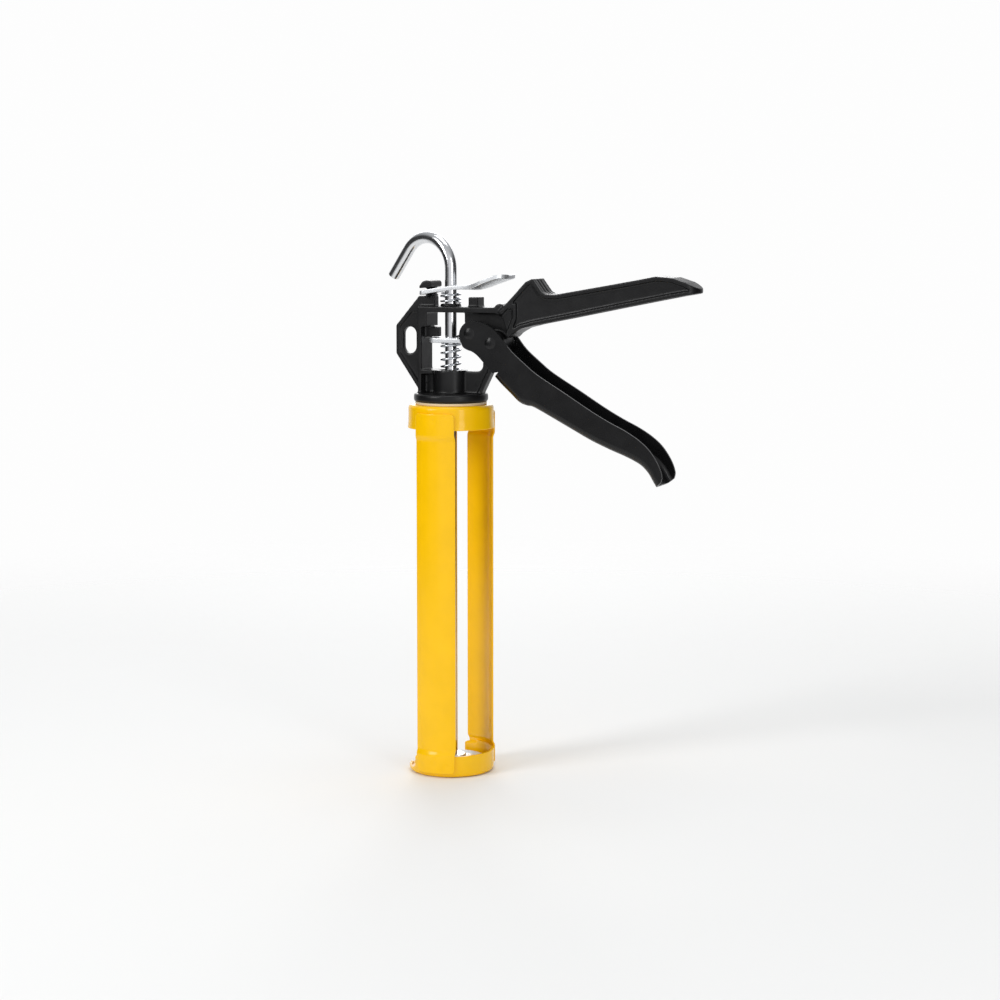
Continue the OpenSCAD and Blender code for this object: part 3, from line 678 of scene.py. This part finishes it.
class GUN_OT_plates(bpy.types.Operator):
    """Adds the drive plate and the pawl that pushes it"""
    bl_idname = "gun.plates"
    bl_label = "Add drive plate and pawl"

    def execute(self, context):
        lo, hi = (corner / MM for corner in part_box("drive_plate"))
        plate = thickened(outline([(lo.x, lo.y), (hi.x, lo.y), (hi.x, hi.y), (lo.x, hi.y)],
                                  [((0, 1, 2, 3), 4.5)], 8), -hi.z, -lo.z)
        turned(plate, -math.pi / 2, "X")
        for v in plate.verts:
            v.co.y = -v.co.y
        bmesh.ops.recalc_face_normals(plate, faces=plate.faces)
        bore = lathed([(0, lo.z - 1), (4.15, lo.z - 1), (4.15, hi.z + 1), (0, hi.z + 1)], (), 48)
        plate = softened(cut_away(plate, bore), 0.7, 50, 4)
        piece("drive_plate_steel", plate, "plate", finish("zinc_plate"), ["drive_plate"])
        pawl = cast(cad_copy("drive_pawl"), 0.4, 3, 0.6)
        piece("pawl_steel", pawl, "pawl", finish("black_phosphate"), ["drive_pawl"], sharp=60,
              weighted=False)
        return {"FINISHED"}


class GUN_OT_lever(bpy.types.Operator):
    """Adds the release lever, a bent zinc-plated stamping with a round paddle"""
    bl_idname = "gun.lever"
    bl_label = "Add release lever"

    def execute(self, context):
        s = context.scene.gun_trigger
        half, heel, tip = s.paddle_w / 2, LEVER_LINE[0][0], LEVER_LINE[-1][0]
        flat = outline([(heel, -9), (14, -9), (25, -half), (tip, -half), (tip, half), (25, half), (14, 9),
                        (heel, 9)], [((0, 7), 3), ((3, 4), 9), ((2, 5), 4), ((1, 6), 5)], 10)
        thickened(flat, -s.lever_t / 2, s.lever_t / 2)
        turned(flat, -math.pi / 2, "X")
        rod_hole = lathed([(0, -9), (4.65, -9), (4.65, 9), (0, 9)], (), 48)
        neck = bmesh.new()
        bmesh.ops.create_cube(neck, size=1)
        bmesh.ops.scale(neck, vec=(7, 5.6, 9), verts=neck.verts)
        shifted(neck, (-13.1, 0, 0))
        flat = cut_away(flat, rod_hole, neck)
        softened(flat, 0.55, 50, 3)
        sliced(flat, 0, spread(heel, tip, 1.3))
        sliced(flat, 1, spread(-half, half, 2.6))
        line = smooth_line(LEVER_LINE, 8)
        for v in flat.verts:
            x, y, z = v.co
            i = max(0, min(len(line) - 2, sum(1 for p in line if p[0] <= x) - 1))
            a, b = line[i], line[i + 1]
            mid = a[1] + (b[1] - a[1]) * (x - a[0]) / (b[0] - a[0])
            dish = 2.4 * step_between(x, 6, 24) * (1 - (y / half) ** 2)
            v.co.z = SEAT + mid + z - dish
        piece("release_lever_steel", flat, "lever", finish("zinc_plate"), ["release_lever"])
        return {"FINISHED"}


class GUN_OT_trigger(bpy.types.Operator):
    """Adds the trigger, a channel pressed from sheet with round bends"""
    bl_idname = "gun.trigger"
    bl_label = "Add trigger"

    def execute(self, context):
        s = context.scene.gun_trigger
        half = s.width / 2
        top, low = smooth_line(TRIGGER_TOP), smooth_line(TRIGGER_NOSE + TRIGGER_FOOT)
        ear = [EAR + EAR_R * Vector((math.cos(a), math.sin(a)))
               for a in (math.radians(d) for d in range(202, 82, -10))]
        bm = outline(low[::-1] + ear + top[1:])
        thickened(bm, -half, half)
        foot_points = {(round(p.x, 3), round(p.y, 3)) for p in low if p.x >= TRIGGER_FOOT[0][0] - 1e-4}

        def on_foot(v):
            return (round(v.co.x, 3), round(v.co.z, 3)) in foot_points
        walls = [f for f in bm.faces if abs(f.normal.y) < 0.5 and not all(on_foot(v) for v in f.verts)]
        bends = [e for e in bm.edges if abs(e.verts[0].co.y - e.verts[1].co.y) < 1e-4 and all(map(on_foot, e.verts))]
        bmesh.ops.delete(bm, geom=walls, context="FACES_ONLY")
        bmesh.ops.bevel(bm, geom=[e for e in bends if e.is_valid], offset=s.bend_r, segments=5, profile=0.5,
                        affect="EDGES", clamp_overlap=False, material=-1)
        bmesh.ops.recalc_face_normals(bm, faces=bm.faces)
        shell = through_modifiers(bm, ("SOLIDIFY", {"thickness": s.sheet, "offset": -1, "use_even_offset": True}),
                                  ("BEVEL", {"width": 0.35, "segments": 2, "limit_method": "ANGLE",
                                             "angle_limit": math.radians(50)}))
        shifted(shell, (0, 0, SEAT))
        piece("trigger_channel", shell, "trigger", finish("baked_paint"), ["trigger"])
        return {"FINISHED"}


class GUN_OT_rod(bpy.types.Operator):
    """Adds the push rod with its pull hook"""
    bl_idname = "gun.rod"
    bl_label = "Add push rod"

    def execute(self, context):
        s = context.scene.gun_rod
        bend_z = SEAT + 84.8
        tenon_z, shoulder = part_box("push_rod")[0].z / MM, 10
        bm = bmesh.new()
        bmesh.ops.create_circle(bm, segments=48, radius=3.0)
        shifted(bm, (0, 0, tenon_z))
        ring = bm.edges[:]
        for widen, z in ((1, shoulder), (s.rod_r / 3.0, shoulder), (1, shoulder + 1), (1, bend_z)):
            made = bmesh.ops.extrude_edge_only(bm, edges=ring)["geom"]
            verts = [g for g in made if isinstance(g, bmesh.types.BMVert)]
            bmesh.ops.scale(bm, vec=(widen, widen, 1), verts=verts)
            bmesh.ops.translate(bm, vec=(0, 0, z - verts[0].co.z), verts=verts)
            ring = [g for g in made if isinstance(g, bmesh.types.BMEdge) and all(v in verts for v in g.verts)]
        spun = bmesh.ops.spin(bm, geom=ring, cent=(s.hook_r, 0, bend_z), axis=(0, 1, 0), angle=s.hook_bend, steps=40,
                              use_merge=False, use_duplicate=False)
        ring = [g for g in spun["geom_last"] if isinstance(g, bmesh.types.BMEdge)]
        made = bmesh.ops.extrude_edge_only(bm, edges=ring)["geom"]
        leg = Vector((math.sin(s.hook_bend), 0, math.cos(s.hook_bend))) * s.hook_leg
        bmesh.ops.translate(bm, vec=leg, verts=[g for g in made if isinstance(g, bmesh.types.BMVert)])
        bmesh.ops.holes_fill(bm, edges=[e for e in bm.edges if e.is_boundary], sides=0)
        bmesh.ops.recalc_face_normals(bm, faces=bm.faces)
        softened(bm, 0.35, 60)
        turned(bm, HOOK_TURN)
        piece("push_rod_steel", bm, "rod", finish("bright_chrome"), ["push_rod"])
        return {"FINISHED"}


class GUN_OT_plunger(bpy.types.Operator):
    """Adds the plunger's pressed disc and its hub"""
    bl_idname = "gun.plunger"
    bl_label = "Add plunger"

    def execute(self, context):
        s = context.scene.gun_rod
        lo, hi = (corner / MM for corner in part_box("plunger_disc"))
        r, inner, sheet, lip = s.plunger_r, s.hub_r - 2, 1.5, 1.8
        disc = lathed([(inner, lo.z), (r - 3, lo.z), (r, lo.z + lip), (r, lo.z + lip + sheet),
                       (r - 3.4, lo.z + sheet), (inner, lo.z + sheet)],
                      [((1, 4), 1.0), ((2,), 0.5), ((3,), 0.4)], 96)
        piece("plunger_plate", disc, "plunger", finish("zinc_plate"), ["plunger_disc"])
        lo, hi = (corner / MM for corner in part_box("plunger_hub"))
        hub = lathed([(3.05, lo.z), (inner, lo.z), (inner, lo.z + sheet), (s.hub_r, lo.z + sheet),
                      (s.hub_r, hi.z), (3.05, hi.z)], [((4,), 1.0)], 72)
        piece("plunger_boss", hub, "plunger", finish("zinc_plate"), ["plunger_hub"])
        return {"FINISHED"}


class GUN_OT_dress(bpy.types.Operator):
    """Gives the CAD pieces that stay their finishes"""
    bl_idname = "gun.dress"
    bl_label = "Finish the small hardware"

    def execute(self, context):
        for node, look in (("rod_nut", "zinc_plate"), ("rod_washer", "zinc_plate")):
            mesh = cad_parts[node].data
            mesh.materials.clear()
            mesh.materials.append(finish(look))
        return {"FINISHED"}


class GUN_OT_stage(bpy.types.Operator):
    """Adds the floor, the studio lights and the camera"""
    bl_idname = "gun.stage"
    bl_label = "Add stage"

    def execute(self, context):
        scene = context.scene
        scene.view_settings.view_transform = "Standard"
        azimuth = math.radians(22.746)
        bm = bmesh.new()
        bmesh.ops.create_circle(bm, cap_ends=True, segments=96, radius=2.0)
        mesh = bpy.data.meshes.new("floor")
        shifted(bm, (0.03, 0, -0.0002)).to_mesh(mesh)
        bm.free()
        floor = bpy.data.objects.new("floor", mesh)
        scene.collection.objects.link(floor)
        material, tree = blank("matt_paper")
        at = add_node(tree, "ShaderNodeTexCoord").outputs["Object"]
        away = add_node(tree, "ShaderNodeVectorMath", {0: at}, operation="LENGTH")
        fade = add_node(tree, "ShaderNodeMapRange", {"Value": away.outputs["Value"], "From Min": 0.3,
                                                     "From Max": 1.1, "To Min": 0.0, "To Max": 1.0},
                        interpolation_type="SMOOTHSTEP")
        paper = add_node(tree, "ShaderNodeBsdfPrincipled", {
            "Base Color": colour(scene.gun_finishes.floor), "Roughness": 0.9, "Specular IOR Level": 0.2})
        clear = add_node(tree, "ShaderNodeBsdfTransparent")
        both = add_node(tree, "ShaderNodeMixShader", {0: fade.outputs["Result"], 1: paper.outputs["BSDF"],
                                                      2: clear.outputs["BSDF"]})
        add_node(tree, "ShaderNodeOutputMaterial", {"Surface": both.outputs["Shader"]})
        mesh.materials.append(material)

        world = bpy.data.worlds.new("studio")
        scene.world = world
        world.use_nodes = True
        tree = world.node_tree
        tree.nodes.clear()
        # A bright card behind the camera, dark sides that draw lines on the bright metal, and a white backdrop
        towards = (math.sin(azimuth), -math.cos(azimuth), 0)
        at = add_node(tree, "ShaderNodeTexCoord").outputs["Generated"]
        level = add_node(tree, "ShaderNodeVectorMath", {0: at, 1: (1, 1, 0)}, operation="MULTIPLY")
        level = add_node(tree, "ShaderNodeVectorMath", {0: level.outputs[0]}, operation="NORMALIZE")
        facing = add_node(tree, "ShaderNodeVectorMath", {0: level.outputs[0], 1: towards}, operation="DOT_PRODUCT")
        around = add_node(tree, "ShaderNodeMapRange", {"Value": facing.outputs["Value"], "From Min": -1.0})
        walls = add_node(tree, "ShaderNodeValToRGB", {"Fac": around.outputs["Result"]})
        stops = walls.color_ramp.elements
        stops[0].position, stops[1].position = 0.0, 1.0
        stops[0].color = stops[1].color = (0.85, 0.85, 0.86, 1)
        for place, bright in ((0.1, 0.8), (0.2, 0.05), (0.68, 0.05), (0.78, 0.3), (0.88, 0.33), (0.94, 0.8)):
            stops.new(place).color = (bright, bright, bright * 1.02, 1)
        height = add_node(tree, "ShaderNodeSeparateXYZ", {"Vector": at})
        above = add_node(tree, "ShaderNodeMapRange", {"Value": height.outputs["Z"], "From Min": 0.35, "From Max": 0.8})
        sky = add_node(tree, "ShaderNodeMix", {"Factor": above.outputs["Result"], "A": walls.outputs["Color"],
                                               "B": (0.55, 0.56, 0.57, 1)}, data_type="RGBA")
        path = add_node(tree, "ShaderNodeLightPath")
        seen = add_node(tree, "ShaderNodeMix", {"Factor": path.outputs["Is Camera Ray"],
                                                "A": sky.outputs["Result"], "B": (0.985, 0.985, 0.985, 1)},
                        data_type="RGBA")
        ground = add_node(tree, "ShaderNodeBackground", {"Color": seen.outputs["Result"], "Strength": 1.0})
        add_node(tree, "ShaderNodeOutputWorld", {"Surface": ground.outputs["Background"]})

        aim = Vector((0.04, 0, 0.17))
        for name, at, size, tall, power in (
                ("key", (-0.75, -1.15, 0.95), 0.5, 0.9, 9.0),
                ("fill", (1.15, -0.9, 0.55), 0.35, 1.0, 3.5),
                ("top", (0.1, 0.1, 1.5), 0.8, 0.8, 5.0),
                ("rim", (-0.5, 1.2, 0.8), 0.6, 0.9, 5.0)):
            light = bpy.data.lights.new(name, "AREA")
            light.shape, light.size, light.size_y, light.energy = "RECTANGLE", size, tall, power
            lamp = bpy.data.objects.new(name, light)
            lamp.location = at
            lamp.rotation_euler = (aim - Vector(at)).to_track_quat("-Z", "Y").to_euler()
            scene.collection.objects.link(lamp)

        distance, aside = 1.4579, 0.03096
        eye = Vector((math.sin(azimuth) * distance + math.cos(azimuth) * aside,
                      -math.cos(azimuth) * distance + math.sin(azimuth) * aside, 0.3552))
        camera = bpy.data.cameras.new("camera")
        camera.lens, camera.sensor_width = 83.18, 36
        camera.shift_y = -0.06
        holder = bpy.data.objects.new("camera", camera)
        holder.location = eye
        holder.rotation_euler = (math.radians(90 - 5.615), 0, azimuth)
        scene.collection.objects.link(holder)
        scene.camera = holder
        return {"FINISHED"}


class GUN_PT_parts(bpy.types.Panel):
    """Lists what the add-on can add"""
    bl_idname = "GUN_PT_parts"
    bl_label = "Caulking Gun"
    bl_space_type = "VIEW_3D"
    bl_region_type = "UI"
    bl_category = "Caulking Gun"

    def draw(self, context):
        for step in STEPS:
            self.layout.operator(step.bl_idname)


STEPS = (GUN_OT_stage, GUN_OT_caps, GUN_OT_strips, GUN_OT_head, GUN_OT_rivets, GUN_OT_washers, GUN_OT_springs,
         GUN_OT_plates, GUN_OT_lever, GUN_OT_trigger, GUN_OT_rod, GUN_OT_plunger, GUN_OT_dress)
GROUPS = (("gun_barrel", BarrelSizes), ("gun_head", HeadSizes), ("gun_trigger", TriggerSizes),
          ("gun_rod", RodSizes), ("gun_finishes", Finishes))


def register():
    for _, group in GROUPS:
        bpy.utils.register_class(group)
    for cls in STEPS + (GUN_PT_parts,):
        bpy.utils.register_class(cls)
    for name, group in GROUPS:
        setattr(bpy.types.Scene, name, bpy.props.PointerProperty(type=group))


def unregister():
    for name, _ in GROUPS:
        delattr(bpy.types.Scene, name)
    for cls in (GUN_PT_parts,) + STEPS[::-1]:
        bpy.utils.unregister_class(cls)
    for _, group in reversed(GROUPS):
        bpy.utils.unregister_class(group)


def main():
    register()
    for step in STEPS:
        area, name = step.bl_idname.split(".")
        getattr(getattr(bpy.ops, area), name)()


if __name__ == "__main__":
    main()
